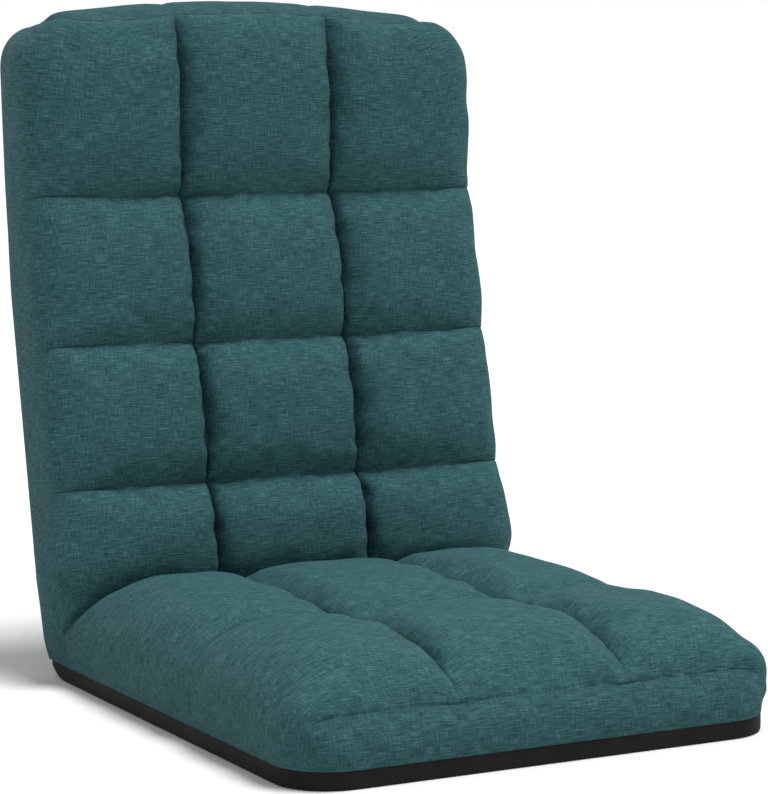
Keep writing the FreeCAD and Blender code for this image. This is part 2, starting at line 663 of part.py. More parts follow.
def seat_side(d):
    """The seat's edge: half width, shoulder height, lower end and foam side, drawn in at the corners."""
    into_corner = max(d - (BASE_LENGTH - BASE_CORNER_R), 0)
    drawn_in = BASE_CORNER_R - math.sqrt(BASE_CORNER_R ** 2 - into_corner ** 2)
    half = BASE_HALF + SIDE_BULGE - drawn_in
    foam_half = min(SEAT_FOAM_HALF + FIT_GAP, half - 2 * EDGE_DROP)
    return half, SEAT_SHOULDER_H, BAND_H + FIT_GAP - PIVOT_Z, foam_half


def back_side(d):
    """The back's edge: it narrows a little towards the head."""
    return BACK_SIDE_HALF - BACK_TAPER * d, BACK_SHOULDER_H, panel_in + FIT_GAP, BACK_FOAM_HALF + FIT_GAP


seat_edge_cut = block(on_seat, -2 * BASE_HALF, 2 * BASE_HALF, BOXING_START, 2 * BASE_LENGTH, -PIVOT_Z,
                      SEAT_FRONT_SEAM_H + FIT_GAP)
crease = math.tan(math.radians(CREASE_ANGLE))
above_crease = prism(on_seat, 2 * BASE_HALF, (
    (CREASE_START, 0.0), (CREASE_START + 4 * CROWN, 4 * CROWN * crease),
    (-4 * CROWN, 4 * CROWN * crease), (-4 * CROWN, 0.0)))


def trimmed(squares, cutters):
    """The squares cut to the room they have; each keeps its one main body."""
    kept = []
    for square in squares:
        pieces = square.cut(cutters).Solids
        kept.append(max(pieces, key=lambda piece: piece.Volume))
    return Part.makeCompound(kept)


def foam_room(place, half, face):
    """The foam's room with the fitting gap all round it, from just behind its start."""
    outline = [(FOAM_START - QUILT_UNDERLAP, -PIVOT_Z)] + list(face) + [(face[-1][0], -PIVOT_Z)]
    if place is on_back:
        outline.append((NECK_D, -PIVOT_Z))
    slab = prism(place, half + FIT_GAP, outline)
    return slab.cut(corner_cuts(place, half + 2 * FIT_GAP))


roll_room = rod(on_seat, 0, 0, -2 * BASE_HALF, 2 * BASE_HALF, PIVOT_Z + ROLL_CLEAR)
wedge_face = [(FOAM_START - QUILT_UNDERLAP, wedge_start + FIT_GAP), (FOAM_START, wedge_start + FIT_GAP),
              (wedge_end, FOAM_TOP + FIT_GAP)]


rear_row = row(on_seat, (SEAT_REAR_SEAM, SEAT_CROSS_SEAM - SEAM_GAP), (SEAT_REAR_SEAM_H, ROW_SEAM_H),
               CROWN + CROWN_SPREAD, seat_foam_face, seat_side)
front_row = row(on_seat, (SEAT_CROSS_SEAM, SEAT_FRONT_SEAM), (ROW_SEAM_H, SEAT_FRONT_SEAM_H + 1), CROWN,
                seat_foam_face, seat_side)
seat_foam_room = foam_room(on_seat, SEAT_FOAM_HALF, wedge_face + [
    (SEAT_FOAM_SLOPE, FOAM_TOP + FIT_GAP), (SEAT_FOAM_END, SEAT_FOAM_NOSE_H + FIT_GAP)])
save("seat_quilt_rear_row", trimmed(rear_row, [seat_foam_room, above_crease, roll_room]))
save("seat_quilt_front_row", trimmed(front_row, [seat_foam_room, seat_edge_cut]))

back_foam_room = foam_room(on_back, BACK_FOAM_HALF, wedge_face + [
    (NECK_D, FOAM_TOP + FIT_GAP), (BACK_FOAM_END + 50.0, FOAM_TOP + FIT_GAP)])
head_room = block(on_back, -2 * BASE_HALF, 2 * BASE_HALF, BOXING_LOW, 2 * BASE_LENGTH, -2 * CROWN, 2 * CROWN)
boxing_room = block(on_back, -2 * BASE_HALF, 2 * BASE_HALF, BOXING_LOW, 2 * BASE_LENGTH, -2 * CROWN,
                    HEAD_SEAM_H + FIT_GAP)
head_waste = [head_room.cut(head_outline(0)), boxing_room.cut(head_outline(HEAD_EDGE_T))]
crease_on_back = math.tan(math.radians(90.0 + BACK_LEAN - CREASE_ANGLE))
below_crease = prism(on_back, 2 * BASE_HALF, (
    (CREASE_START, 0.0), (CREASE_START + 4 * CROWN, 4 * CROWN * crease_on_back),
    (-4 * CROWN, 4 * CROWN * crease_on_back), (-4 * CROWN, 0.0)))
row_count = len(BACK_SEAMS) - 1
for number in range(row_count):
    low, high = BACK_SEAMS[row_count - 1 - number:row_count + 1 - number]
    top_gap = 0 if number == 0 else SEAM_GAP
    heights = (BACK_LOW_SEAM_H if number == row_count - 1 else ROW_SEAM_H, ROW_SEAM_H)
    squares = row(on_back, (low, high - top_gap), heights, CROWN - CROWN_SPREAD, back_foam_face, back_side)
    waste = [back_foam_room, below_crease, roll_room] if number == row_count - 1 else [back_foam_room]
    waste += head_waste if number == 0 else []
    save("back_quilt_row_" + str(number + 1), leaned(trimmed(squares, waste)))


# Boxing: the plain bands that close the seat's front and the head's top, and the back's rear panel

front_outer = rounded_plan(BASE_HALF + CLOTH_T, BASE_LENGTH + BOXING_BULGE, BASE_CORNER_R,
                           BAND_H + FIT_GAP - PIVOT_Z, SEAT_FRONT_SEAM_H)
front_inner = rounded_plan(SEAT_FOAM_HALF + FIT_GAP, SEAT_FOAM_END + FIT_GAP, FOAM_CORNER_R, -PIVOT_Z, CROWN)
front_keep = block(on_seat, -2 * BASE_HALF, 2 * BASE_HALF, BOXING_START + FIT_GAP, 2 * BASE_LENGTH,
                   -PIVOT_Z, CROWN)
front_boxing = front_outer.cut(front_inner).common(front_keep)
long_edges = [edge for edge in front_boxing.Edges
              if edge.CenterOfMass.y < PIVOT_Y - BASE_LENGTH and edge.Length > BASE_HALF]
save("seat_front_boxing", front_boxing.makeFillet(BOXING_BULGE, long_edges))

head_top_keep = block(on_back, -2 * BASE_HALF, 2 * BASE_HALF, BOXING_LOW + FIT_GAP, HEAD_TOP + 1,
                      panel_in + FIT_GAP, HEAD_SEAM_H)
top_band = head_outline(0).cut(head_outline(HEAD_EDGE_T - FIT_GAP)).common(head_top_keep)
save("back_top_boxing", leaned(top_band))

rear_panel = prism(on_back, PANEL_HALF, (
    (PANEL_START, -PIVOT_Z), (PANEL_START, panel_in), (NECK_D, panel_in), (HEAD_TOP, panel_in),
    (HEAD_TOP, -PIVOT_Z), (NECK_D, -PIVOT_Z)))
save("back_rear_panel", leaned(rear_panel.common(head_outline(0))))
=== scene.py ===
# Folding floor chair: its cover, padding, steel frame and ratchet hinges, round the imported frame.
# Metres throughout. X is across the chair, +Y points to the sitter's back, +Z is up from the floor.
import json
import math

import bpy
import numpy as np
from mathutils import Matrix, Vector, noise

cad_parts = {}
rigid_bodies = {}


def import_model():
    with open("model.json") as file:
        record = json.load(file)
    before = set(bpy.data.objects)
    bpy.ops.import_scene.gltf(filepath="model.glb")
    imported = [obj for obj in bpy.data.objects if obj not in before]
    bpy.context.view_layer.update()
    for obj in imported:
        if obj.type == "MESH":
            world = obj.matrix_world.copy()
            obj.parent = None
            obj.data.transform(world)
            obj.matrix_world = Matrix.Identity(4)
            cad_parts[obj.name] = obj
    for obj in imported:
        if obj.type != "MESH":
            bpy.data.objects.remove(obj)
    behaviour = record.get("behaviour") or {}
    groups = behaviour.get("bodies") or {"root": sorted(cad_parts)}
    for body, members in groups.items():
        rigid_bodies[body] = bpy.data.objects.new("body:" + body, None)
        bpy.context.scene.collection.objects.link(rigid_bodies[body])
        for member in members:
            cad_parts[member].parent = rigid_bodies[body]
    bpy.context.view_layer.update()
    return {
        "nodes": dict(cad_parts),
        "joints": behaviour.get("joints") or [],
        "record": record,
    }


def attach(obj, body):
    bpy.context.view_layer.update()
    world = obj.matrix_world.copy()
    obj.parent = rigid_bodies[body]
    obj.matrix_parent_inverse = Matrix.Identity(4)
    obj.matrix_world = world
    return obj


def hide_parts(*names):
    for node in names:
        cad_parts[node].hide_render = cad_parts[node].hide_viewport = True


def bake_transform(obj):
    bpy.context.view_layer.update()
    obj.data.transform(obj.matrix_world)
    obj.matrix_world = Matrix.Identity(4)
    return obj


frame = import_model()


# Quilted cover
# One sewn cover of slubby linen weave over wadding: two rows of three squares on the seat and four
# rows on the back. It turns down the sides with no side band, and crosses the hinge in one piece.
fold = next(joint for joint in frame["joints"] if joint["name"] == "back_fold")
PIN_Y, PIN_Z = fold["pos_m"][1:]
LEAN = math.radians(11)
HEAD_TILT = math.radians(8)
NECK = 0.452
NECK_EASE = 0.035
LINE_STEP = 0.0005
COLUMN_SEAM = 0.088
OUTER_CREST = 0.168
CREST_H = 0.071
SEAT_CREASE = (0.045, 0.038)
SIDE_CREASE = (0.013, 0.0)
CROSS_SEAM = 0.3395
CROSS_SEAM_H = 0.059
SEAT_BROW = 0.445
BROW_H = 0.067
BROW_CURVE = ((SEAT_BROW, BROW_H), (0.508, BROW_H), (0.551, 0.048))
FRONT_SEAM = 0.562
FRONT_SEAM_H = 0.0145
ROW_SEAMS = (0.143, 0.2915, NECK)
ROW_SEAM_H = 0.055
CROSSING_H = 0.032
TOP_SEAM = 0.648
TOP_SEAM_H = 0.049
TOP_SEAM_DROP = 0.018
SEAT_LOW = -0.033
BACK_LOW = -0.047
BASE_HALF = 0.2505
BASE_CORNER = 0.055
BASE_FRONT = 0.575
SEAT_WIDEST = 0.256
BACK_WIDEST = 0.2615
BACK_EDGE_HALF = 0.2525
FOOT_FLARE = 0.009
EDGE_BOW = 0.003
SEAM_TUCK = np.array([0, 0.0021, -0.0021])
SEAM_ALLOWANCE = 0.0012
HEAD_CORNER_X, HEAD_CORNER_D = 0.207, 0.598
HEAD_CORNER_WIDE, HEAD_CORNER_TALL = 0.042, 0.042
MIDDLE_STEPS, INNER_STEPS, SHOULDER_STEPS, SIDE_STEPS = 13, 12, 12, 10
SEAT_STEPS = (38, 34)
BACK_STEPS = (20, 22, 24, 28)
FAN_FLAT_STEPS, FAN_ARC_STEPS = 6, 7
TAIL_R = 0.050
SEAT_ROUND, BACK_ROUND, ROUND_TOP = 2.6, 2.5, 0.6
CREASE_VALLEY_H, CREASE_VALLEY_RISE, SEAT_VALLEY_H = 0.028, 0.012, 0.048
BROW_VALLEY_H, BROW_VALLEY_RISE = 0.040, 0.006
FRONT_VALLEY_H, FRONT_VALLEY_RISE = 0.0125, 0.0335
BACK_FOOT_VALLEY_H, TOP_VALLEY_H, BACK_VALLEY_H = 0.041, 0.043, 0.045
FRONT_EASE_D = 0.525
SEAT_SEAM_TUCK = 0.005
BELOW_CREST, FRONT_LESS_BELOW = 0.026, 0.014
BACK_WIDEST_H, HEAD_WIDEST_DROP = 0.026, 0.008
SEAT_SWING, BACK_SWING = 0.13, 0.11
COLUMN_CROWD = 1.35
ARCH_POWER = 2.2
GATHER_REACH, GATHER_WIDE, GATHER_LONG, GATHER_LIFT = 0.011, 0.013, 0.09, 0.0024
FILLING_SIZE, FILLING_FINE_SIZE, FILLING_LIFT = 0.05, 0.024, 0.0022

# The back's own line: it leans at the hinge, and the head bends forward at the neck
along = np.arange(-0.1, 0.8, LINE_STEP)
neck_share = np.clip((along - NECK + NECK_EASE) / (2 * NECK_EASE), 0, 1)
lean_along = LEAN - HEAD_TILT * neck_share ** 2 * (3 - 2 * neck_share)
line_y = np.cumsum(np.sin(lean_along)) * LINE_STEP
line_z = np.cumsum(np.cos(lean_along)) * LINE_STEP
line_y += PIN_Y - np.interp(0, along, line_y)
line_z += PIN_Z - np.interp(0, along, line_z)


def on_seat(x, d, h):
    """Places on the seat: x across, d forward of the hinge pin, h above it."""
    x, d, h = np.broadcast_arrays(x, d, h)
    return np.stack([x, PIN_Y - d, PIN_Z + h], -1)


def on_back(x, d, h):
    """Places on the back: d up its own line from the hinge pin, h towards the sitter."""
    x, d, h = np.broadcast_arrays(x, d, h)
    lean = np.interp(d, along, lean_along)
    return np.stack([x, np.interp(d, along, line_y) - h * np.cos(lean),
                     np.interp(d, along, line_z) + h * np.sin(lean)], -1)


def from_seat_to_back(d, h):
    """A seat place near the hinge, given as (d, h) on the back."""
    return -d * math.sin(LEAN) + h * math.cos(LEAN), d * math.cos(LEAN) + h * math.sin(LEAN)


BACK_CREASE = from_seat_to_back(*SEAT_CREASE)
BACK_SIDE_CREASE = from_seat_to_back(*SIDE_CREASE)


def bezier(points, count=60):
    """A cubic curve from its first point to its last."""
    t = np.linspace(0, 1, count + 1)[:, None]
    a, b, c, d = (np.array(point, float) for point in points)
    return (1 - t) ** 3 * a + 3 * t * (1 - t) ** 2 * b + 3 * t * t * (1 - t) * c + t ** 3 * d


def respaced(curve, shares):
    """The same curve with its points at the given shares of its length."""
    run = np.concatenate([[0], np.cumsum(np.linalg.norm(np.diff(curve, axis=0), axis=1))])
    return np.stack([np.interp(shares * run[-1], run, curve[:, k]) for k in range(curve.shape[1])], -1)


def crowded(count, crowd=0.6):
    """Shares from 0 to 1, closer together at both ends."""
    t = np.linspace(0, 1, count + 1)
    return t - crowd * np.sin(2 * np.pi * t) / (2 * np.pi)


def smooth(value):
    value = np.clip(value, 0, 1)
    return value * value * (3 - 2 * value)


def risen(share, sides, top):
    """How far a padded square has risen, from 0 at its seams to 1 at its middle."""
    return max(1 - abs(2 * share - 1) ** sides, 0) ** top


def half_section(crest, valley, steep, widest, widest_h, low_half, low, fullness):
    """Half a line across the pad as (x, h): middle square, seam, side square, and down the side."""
    crest_x = OUTER_CREST * min(1, widest / 0.25)
    seam = (COLUMN_SEAM, valley)
    rise = (COLUMN_SEAM, valley + steep * (crest - valley))
    crown = 0.3 + 0.6 * steep
    middle = bezier(((0, crest), (crown * COLUMN_SEAM, crest), rise, seam))
    inner = bezier((seam, rise, (crest_x - crown * (crest_x - COLUMN_SEAM), crest), (crest_x, crest)))
    shoulder = bezier(((crest_x, crest), (crest_x + fullness * (widest - crest_x), crest),
                       (widest, widest_h + (fullness - 0.08) * (crest - widest_h)), (widest, widest_h)))
    side = bezier(((widest, widest_h), (widest, 0.55 * widest_h + 0.45 * low),
                   (0.6 * low_half + 0.4 * widest, 0.75 * low + 0.25 * widest_h), (low_half, low)))
    return np.concatenate([
        respaced(middle, 1 - (1 - np.linspace(0, 1, MIDDLE_STEPS + 1)) ** COLUMN_CROWD),
        respaced(inner, np.linspace(0, 1, INNER_STEPS + 1) ** COLUMN_CROWD)[1:],
        respaced(shoulder, np.linspace(0, 1, SHOULDER_STEPS + 1))[1:],
        respaced(side, np.linspace(0, 1, SIDE_STEPS + 1))[1:]])


def both_halves(place, half, d):
    """A whole line across, from the left outline to the right one."""
    right = place(half[:, 0], d, half[:, 1])
    return np.concatenate([right[:0:-1] * [-1, 1, 1], right])


brow = bezier(BROW_CURVE + ((FRONT_SEAM, FRONT_SEAM_H),))


def seat_heights(d):
    """The seat's crest height, column valley height and share risen at d."""
    if d <= CROSS_SEAM:
        share = (d - SEAT_CREASE[0]) / (CROSS_SEAM - SEAT_CREASE[0])
        full = risen(share, SEAT_ROUND, ROUND_TOP)
        seam = SEAT_CREASE[1] + share * (CROSS_SEAM_H - SEAT_CREASE[1])
        valley = CREASE_VALLEY_H + share * CREASE_VALLEY_RISE
        return seam + (CREST_H - seam) * full, valley + (SEAT_VALLEY_H - valley) * full, full
    if d <= SEAT_BROW:
        full = math.sin(math.pi / 2 * (d - CROSS_SEAM) / (SEAT_BROW - CROSS_SEAM)) ** 0.6
        valley = BROW_VALLEY_H + BROW_VALLEY_RISE * full
        return CROSS_SEAM_H + (BROW_H - CROSS_SEAM_H) * full, valley, full
    crest = float(np.interp(d, brow[:, 0], brow[:, 1]))
    full = (crest - FRONT_SEAM_H) / (BROW_H - FRONT_SEAM_H)
    return crest, FRONT_VALLEY_H + FRONT_VALLEY_RISE * full, full


def back_heights(d):
    """The back's crest height, column valley height and share risen at d."""
    seams = (BACK_CREASE[0],) + ROW_SEAMS + (TOP_SEAM,)
    crests = (BACK_CREASE[1],) + (ROW_SEAM_H,) * 3 + (TOP_SEAM_H,)
    valleys = (BACK_FOOT_VALLEY_H,) + (CROSSING_H,) * 3 + (TOP_VALLEY_H,)
    row = min(max(sum(d > seam for seam in seams) - 1, 0), 3)
    share = (d - seams[row]) / (seams[row + 1] - seams[row])
    full = risen(share, BACK_ROUND, ROUND_TOP)
    seam = crests[row] + share * (crests[row + 1] - crests[row])
    valley = valleys[row] + share * (valleys[row + 1] - valleys[row])
    return seam + (CREST_H - seam) * full, valley + (BACK_VALLEY_H - valley) * full, full


def stations(ends, heights, counts):
    """Where the cover's lines across lie: even over each crest, and closer together at its seams."""
    found = [ends[0]]
    for start, end, count in zip(ends, ends[1:], counts):
        d = np.linspace(start, end, 600)
        curve = np.stack([d, [heights(value)[0] for value in d]], -1)
        shares = crowded(count)
        if end == ends[-1]:
            shares[-2] = 1 - SEAM_ALLOWANCE / np.sum(np.linalg.norm(np.diff(curve, axis=0), axis=1))
        found.extend(respaced(curve, shares)[1:, 0])
    return np.array(found)


def lowered_at_side(half, d, crease, side_crease, reach):
    """How far a line near the crease swings towards the hinge pin as it goes down the side."""
    near = smooth(1 - (d - crease[0]) / reach)
    drop = np.clip((crease[1] - half[:, 1]) / (crease[1] - side_crease[1]), 0, 1)
    return near * (crease[0] - side_crease[0]) * drop * smooth((half[:, 0] - 0.2) / 0.04)


def seat_line(d):
    """One line of the cover across the seat."""
    crest, valley, full = seat_heights(d)
    into = max(d - (BASE_FRONT - BASE_CORNER), 0)
    drawn_in = BASE_CORNER - math.sqrt(BASE_CORNER ** 2 - into ** 2)
    tuck = SEAT_SEAM_TUCK * (1 - full) if d < SEAT_BROW else 0
    at_front = float(smooth((d - FRONT_EASE_D) / (FRONT_SEAM - FRONT_EASE_D)))
    half = half_section(crest, valley, 0.5 + 0.3 * full, SEAT_WIDEST - drawn_in - tuck,
                        min(0, crest - BELOW_CREST + FRONT_LESS_BELOW * at_front), BASE_HALF - drawn_in,
                        SEAT_LOW, 0.6 + 0.36 * at_front)
    place = d - lowered_at_side(half, d, SEAT_CREASE, SIDE_CREASE, SEAT_SWING)
    return both_halves(on_seat, half, place)


def back_line(d):
    """One line of the cover across the back. Near the top it follows the head's arch and corners."""
    crest, valley, full = back_heights(d)
    turn = math.pi / 2 * min(max((d - HEAD_CORNER_D) / (TOP_SEAM - HEAD_CORNER_D), 0), 1)
    drawn_in = HEAD_CORNER_WIDE * (1 - math.cos(turn))
    edge_d = min(d, HEAD_CORNER_D) + HEAD_CORNER_TALL * math.sin(turn)
    near = float(smooth(1 - (d - BACK_CREASE[0]) / 0.035))
    widest_h = (BACK_WIDEST_H - HEAD_WIDEST_DROP * math.sin(turn)
                - near * (BACK_WIDEST_H - BACK_SIDE_CREASE[1]))
    edge_half = BACK_EDGE_HALF + EDGE_BOW * float(smooth((NECK - d) / 0.1) * smooth(d / 0.1))
    widest = BACK_WIDEST + FOOT_FLARE * float(smooth((ROW_SEAMS[0] - d) / 0.07))
    widest = widest - near * (widest - SEAT_WIDEST) - 0.001 * (1 - full) * math.cos(turn)
    half = half_section(crest, valley, 0.5 + 0.42 * full, widest - drawn_in - 0.006 * math.sin(turn),
                        widest_h, edge_half - drawn_in, BACK_LOW, 1.0 - 0.12 * full)
    in_head = smooth((d - NECK) / (TOP_SEAM - NECK))
    arch = TOP_SEAM_DROP * (half[:, 0] / HEAD_CORNER_X) ** ARCH_POWER * in_head
    wide = half[:, 0] / half[:, 0].max()
    to_edge = smooth((wide - 0.6) / 0.35)
    place = (d - arch) * (1 - to_edge) + edge_d * to_edge
    place = place - lowered_at_side(half, d, BACK_CREASE, BACK_SIDE_CREASE, BACK_SWING)
    return both_halves(on_back, half, place)


seat_d = stations((SEAT_CREASE[0], CROSS_SEAM, FRONT_SEAM), seat_heights, SEAT_STEPS)
back_d = stations((BACK_CREASE[0],) + ROW_SEAMS + (TOP_SEAM,), back_heights, BACK_STEPS)
seat_lines = np.array([seat_line(d) for d in seat_d])
back_lines = np.array([back_line(d) for d in back_d])

# Both first lines are the crease, down to where it fades out on the side
WIDE = seat_lines.shape[1]
EDGE = SIDE_STEPS
MIDDLE = WIDE // 2
crease_line = (seat_lines[0] + back_lines[0]) / 2
seat_lines[0][EDGE:WIDE - EDGE] = crease_line[EDGE:WIDE - EDGE]
back_lines[0][EDGE:WIDE - EDGE] = crease_line[EDGE:WIDE - EDGE]


def run_of(line):
    """The length along a line from its first place."""
    return np.concatenate([[0], np.cumsum(np.linalg.norm(np.diff(line, axis=0), axis=1))])


across = run_of(back_lines[sum(BACK_STEPS[:2]) + 12])
across = across - across[MIDDLE]
seat_run = run_of(seat_lines[:, MIDDLE])
back_run = run_of(back_lines[:, MIDDLE])
column_at = MIDDLE + MIDDLE_STEPS
crown = smooth((np.minimum(np.arange(WIDE), np.arange(WIDE)[::-1]) - EDGE) / (0.75 * SHOULDER_STEPS))


def outward(grid, sign):
    """Which way the cloth faces at each place of a grid."""
    facing = np.cross(np.gradient(grid, axis=1), np.gradient(grid, axis=0)) * sign
    return facing / np.maximum(np.linalg.norm(facing, axis=2, keepdims=True), 1e-9)


def puckered(grid, run, seam_rows, sign, seed):
    """Gathers beside the seams and an uneven filling, both nothing at the seams and outlines."""
    to_column = np.minimum(abs(across - across[column_at]), abs(across + across[column_at]))
    to_row = np.min([abs(run - run[row]) for row in seam_rows], axis=0)
    to_edge = across[-1] - abs(across)
    lift = np.zeros(grid.shape[:2])
    for i, v in enumerate(run):
        for j, u in enumerate(across):
            beside_row = to_row[i] / GATHER_REACH * math.exp(1 - to_row[i] / GATHER_REACH)
            beside_column = to_column[j] / GATHER_REACH * math.exp(1 - to_column[j] / GATHER_REACH)
            row_gather = noise.noise((u / GATHER_WIDE, v / GATHER_LONG, seed))
            column_gather = noise.noise((u / GATHER_LONG, v / GATHER_WIDE, seed + 9))
            coarse = noise.noise((u / FILLING_SIZE, v / FILLING_SIZE, seed + 5))
            filling = coarse + 0.5 * noise.noise((u / FILLING_FINE_SIZE, v / FILLING_FINE_SIZE, seed))
            away = min(1, to_row[i] / 0.02) * min(1, to_edge[j] / 0.03)
            gathers = beside_row * row_gather + beside_column * away * column_gather
            lift[i, j] = (GATHER_LIFT * crown[j] * gathers
                          + FILLING_LIFT * away * min(1, to_column[j] / 0.02) * filling)
    return grid + lift[..., None] * outward(grid, sign)


seat_lines = puckered(seat_lines, seat_run, (0, SEAT_STEPS[0], sum(SEAT_STEPS)), -1, 3.0)
back_seam_rows = [0] + [int(count) for count in np.cumsum(BACK_STEPS)]
back_lines = puckered(back_lines, back_run, back_seam_rows, 1, 31.0)

# The front and top seams are pulled in a little, so that they show as fine grooves
tucked = smooth((np.minimum(np.arange(WIDE), np.arange(WIDE)[::-1]) - EDGE) / 3)[:, None]
seat_lines[-1] += tucked * SEAM_TUCK
back_lines[-1] += tucked * SEAM_TUCK

# Where the crease has faded out, a fan of cloth turns round the hinge at each side
tip = seat_lines[0][EDGE]
tail_y = math.sqrt(TAIL_R ** 2 - SEAT_LOW ** 2)
tail_turn = math.atan2(SEAT_LOW, tail_y)
back_foot = back_lines[0][0]
foot_turn = math.atan2(back_foot[2] - PIN_Z, back_foot[1] - PIN_Y)
foot_r = math.hypot(back_foot[2] - PIN_Z, back_foot[1] - PIN_Y)
flat_outline = np.stack([
    np.full(FAN_FLAT_STEPS, -BASE_HALF),
    np.linspace(seat_lines[0][0][1], PIN_Y + tail_y, FAN_FLAT_STEPS + 1)[:-1],
    np.full(FAN_FLAT_STEPS, PIN_Z + SEAT_LOW)], -1)
arc = np.linspace(0, 1, FAN_ARC_STEPS + 1)
arc_turn = tail_turn + arc * (foot_turn - tail_turn)
arc_r = TAIL_R + arc * (foot_r - TAIL_R)
arc_outline = np.stack([-BASE_HALF + arc * (back_foot[0] + BASE_HALF), PIN_Y + arc_r * np.cos(arc_turn),
                        PIN_Z + arc_r * np.sin(arc_turn)], -1)
fan_outline = np.concatenate([flat_outline, arc_outline])
fan_lines = []
for number, outer in enumerate(fan_outline):
    share = number / (len(fan_outline) - 1)
    between = (1 - share) * seat_lines[0][:EDGE + 1] + share * back_lines[0][:EDGE + 1]
    reach = np.linalg.norm(between - tip, axis=1) / np.linalg.norm(between[0] - tip)
    spoke = tip + reach[:, None] * (outer - tip)
    spoke[:, 0] = between[:, 0] + reach * (outer[0] - between[0, 0])
    fan_lines.append(spoke)
fan_lines[0], fan_lines[-1] = seat_lines[0][:EDGE + 1], back_lines[0][:EDGE + 1]
fan_lines = np.array(fan_lines)


def sewn(name, panels):
    """One piece from panels: places, their marks in the flat cloth, how firmly each is held, and a side."""
    found, places, holds, faces, marks = {}, [], [], [], []
    for grid, weave, held, flipped in panels:
        index = np.zeros(grid.shape[:2], int)
        for at in np.ndindex(*grid.shape[:2]):
            key = tuple(int(round(value * 2e5)) for value in grid[at])
            if key not in found:
                found[key] = len(places)
                places.append(tuple(float(value) for value in grid[at]))
                holds.append(0.0)
            index[at] = found[key]
            holds[index[at]] = max(holds[index[at]], float(held[at]))
        for i in range(grid.shape[0] - 1):
            for j in range(grid.shape[1] - 1):
                corners = [(i, j), (i, j + 1), (i + 1, j + 1), (i + 1, j)]
                if flipped:
                    corners.reverse()
                corners = [at for k, at in enumerate(corners)
                           if index[at] not in [index[b] for b in corners[:k]]]
                if len(corners) > 2:
                    faces.append([int(index[at]) for at in corners])
                    marks.extend(weave[at] for at in corners)
    mesh = bpy.data.meshes.new(name)
    mesh.from_pydata(places, [], faces)
    mesh.uv_layers.new(name="weave").data.foreach_set("uv", np.array(marks).ravel())
    mesh.shade_smooth()
    piece = bpy.data.objects.new(name, mesh)
    bpy.context.scene.collection.objects.link(piece)
    group = piece.vertex_groups.new(name="held")
    for number, hold in enumerate(holds):
        if hold:
            group.add([number], hold, "REPLACE")
    return piece


PRESSURE = 2.5
SETTLING_FRAMES = 20
SIDE_START, SIDE_SPAN, SIDE_LESS = 0.225, 0.025, 0.75


def swollen(piece, cap):
    """The wadding pushes the cloth out between its seams, by no more than cap."""
    before = np.array([vertex.co for vertex in piece.data.vertices])
    filling = piece.modifiers.new("filling", "CLOTH")
    cloth = filling.settings
    cloth.quality = 6
    cloth.mass = 0.25
    cloth.air_damping = 3
    cloth.tension_stiffness = cloth.compression_stiffness = 18
    cloth.shear_stiffness = 6
    cloth.bending_stiffness = 0.6
    cloth.shrink_min = -0.025
    cloth.use_pressure = True
    cloth.uniform_pressure_force = PRESSURE
    cloth.vertex_group_mass = "held"
    cloth.effector_weights.gravity = 0
    for moment in range(1, SETTLING_FRAMES + 1):
        bpy.context.scene.frame_set(moment)
    settled = piece.evaluated_get(bpy.context.evaluated_depsgraph_get()).data
    moved = np.array([vertex.co for vertex in settled.vertices]) - before
    piece.modifiers.remove(filling)
    bpy.context.scene.frame_set(1)
    far = np.linalg.norm(moved, axis=1, keepdims=True)
    most = cap * (1 - SIDE_LESS * smooth((abs(before[:, :1]) - SIDE_START) / SIDE_SPAN))
    after = before + moved * np.minimum(1, most / np.maximum(far, 1e-9))
    piece.data.vertices.foreach_set("co", after.astype(np.float32).ravel())
    piece.data.update()


def subdivided(piece):
    """One subdivision, applied."""
    piece.vertex_groups.clear()
    piece.modifiers.new("subdivision", "SUBSURF").levels = 1
    mesh = bpy.data.meshes.new_from_object(piece.evaluated_get(bpy.context.evaluated_depsgraph_get()))
    piece.modifiers.clear()
    rough = piece.data
    piece.data = mesh
    bpy.data.meshes.remove(rough)
    mesh.name = piece.name


def bends_at_hinge(piece):
    """Bakes the piece's place into its mesh; it keeps the shape it was built in over the seat and the back.
    """
    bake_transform(piece)


def held_at_seams(rows, seam_rows):
    """How firmly the seams hold each place of the seat's or the back's cloth."""
    held = np.zeros((rows, WIDE))
    held[:, [MIDDLE - MIDDLE_STEPS, MIDDLE + MIDDLE_STEPS, 0, -1]] = 1
    for row in seam_rows:
        held[row] = np.maximum(held[row], crown)
    held[-1] = 1
    return held


seat_marks = np.stack(np.meshgrid(across, -seat_run), -1)
back_marks = np.stack(np.meshgrid(across, back_run), -1)
fan_marks = np.stack(np.meshgrid(across[:EDGE + 1], run_of(fan_outline)), -1)
fan_held = np.zeros(fan_lines.shape[:2])
fan_held[:, 0] = 1
quilted_cover = sewn("quilted_cover", [
    (seat_lines, seat_marks, held_at_seams(len(seat_lines), (0, SEAT_STEPS[0])), True),
    (back_lines, back_marks, held_at_seams(len(back_lines), back_seam_rows), False),
    (fan_lines, fan_marks, fan_held, False),
    (fan_lines * [-1, 1, 1], fan_marks, fan_held, True)])
swollen(quilted_cover, 0.0035)
subdivided(quilted_cover)
bends_at_hinge(quilted_cover)
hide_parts(*[name for name in frame["nodes"] if "quilt" in name or "end_pad" in name])


